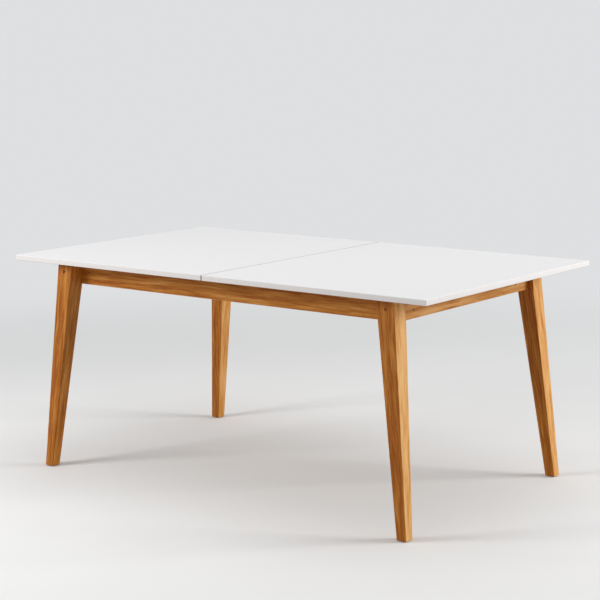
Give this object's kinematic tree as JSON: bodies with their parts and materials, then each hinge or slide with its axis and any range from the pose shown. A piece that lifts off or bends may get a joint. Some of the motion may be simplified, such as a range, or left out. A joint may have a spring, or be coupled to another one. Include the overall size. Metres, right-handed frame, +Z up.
{
  "type": "extending_table",
  "caption": "Rectangular dining table with a white lacquered split top that slides apart over a stored folding leaf, on a honey wood frame with tapered splayed legs.",
  "frame": {"origin": "floor level under the centre of the closed top", "axes": "+X along the table's length towards the right half, +Y across the table from the front long side to the back one, +Z up"},
  "size_m": [1.74, 1, 0.76],
  "materials": {
    "frame_wood": "satin lacquered honey wood in laminated strips",
    "inner_wood": "plain sanded hardwood",
    "white_lacquer": "satin white lacquer on board",
    "dark_bolt_steel": "bronzed steel",
    "zinc_steel": "zinc plated steel",
    "channel_aluminium": "plain extruded aluminium",
    "white_nylon": "natural nylon",
    "grey_nylon": "dark moulded nylon",
    "grey_felt": "pressed felt",
    "dark_glide": "dark moulded plastic"
  },
  "bodies": {
    "frame": {"leg_back_right": "frame_wood", "leg_front_right": "frame_wood", "leg_back_left": "frame_wood", "leg_front_left": "frame_wood", "long_apron_back": "frame_wood", "long_apron_front": "frame_wood", "end_apron_right": "frame_wood", "end_apron_left": "frame_wood", "corner_block_back_right": "inner_wood", "corner_block_front_right": "inner_wood", "corner_block_back_left": "inner_wood", "corner_block_front_left": "inner_wood", "leg_dowels": "inner_wood", "leaf_bearer_left": "inner_wood", "pinion_rail": "inner_wood", "leaf_bearer_right": "inner_wood", "leaf_wing_lower": "white_lacquer", "leaf_wing_upper": "white_lacquer", "leg_bolts": "dark_bolt_steel", "barrel_nuts": "dark_bolt_steel", "apron_bolts": "dark_bolt_steel", "channel_screws": "zinc_steel", "rail_brackets": "zinc_steel", "rail_bracket_screws": "zinc_steel", "leaf_hinge_lower_plates": "zinc_steel", "leaf_hinge_upper_plates": "zinc_steel", "leaf_hinge_pins": "zinc_steel", "pinion_axle": "zinc_steel", "pinion_clip": "zinc_steel", "leaf_pins": "zinc_steel", "guide_channel_back": "channel_aluminium", "guide_channel_front": "channel_aluminium", "slide_stops": "white_nylon", "slide_pads": "white_nylon", "leaf_bushes": "white_nylon", "pinion_boss": "white_nylon", "leaf_pads": "grey_felt", "foot_glides": "dark_glide"},
    "top_right": {"top_panel_right": "white_lacquer", "runner_right_back": "inner_wood", "runner_right_front": "inner_wood", "glide_shoes_right": "white_nylon", "top_screws_right": "zinc_steel", "rack_right": "grey_nylon", "alignment_pins": "zinc_steel", "latch_plates": "zinc_steel", "latch_washers": "zinc_steel"},
    "top_left": {"top_panel_left": "white_lacquer", "runner_left_back": "inner_wood", "runner_left_front": "inner_wood", "glide_shoes_left": "white_nylon", "top_screws_left": "zinc_steel", "rack_left": "grey_nylon", "alignment_bushes": "white_nylon", "latch_keepers": "zinc_steel"},
    "pinion": {"drive_pinion": "grey_nylon"},
    "latch_front": {"latch_lever_front": "zinc_steel"},
    "latch_back": {"latch_lever_back": "zinc_steel"}
  },
  "joints": [
    {"name": "right_top_slide", "type": "slide", "parent": "frame", "child": "top_right", "axis": [1, 0, 0], "range_m": [0, 0.225]},
    {"name": "left_top_slide", "type": "slide", "parent": "frame", "child": "top_left", "axis": [-1, 0, 0], "range_m": [0, 0.225]},
    {"name": "pinion_turn", "type": "hinge", "parent": "frame", "child": "pinion", "pos_m": [0, 0.302, 0.728], "axis": [0, 0, 1], "range_deg": [-921, 0]},
    {"name": "latch_front_swing", "type": "hinge", "parent": "top_right", "child": "latch_front", "pos_m": [0.016, -0.4205, 0.735], "axis": [0, 0, 1], "range_deg": [-90, 0]},
    {"name": "latch_back_swing", "type": "hinge", "parent": "top_right", "child": "latch_back", "pos_m": [0.016, 0.4205, 0.735], "axis": [0, 0, 1], "range_deg": [0, 90]}
  ],
  "couplings": [
    {"joint": "left_top_slide", "follows": "right_top_slide", "ratio": 1},
    {"joint": "pinion_turn", "follows": "right_top_slide", "rad_per_m": -71.429}
  ]
}
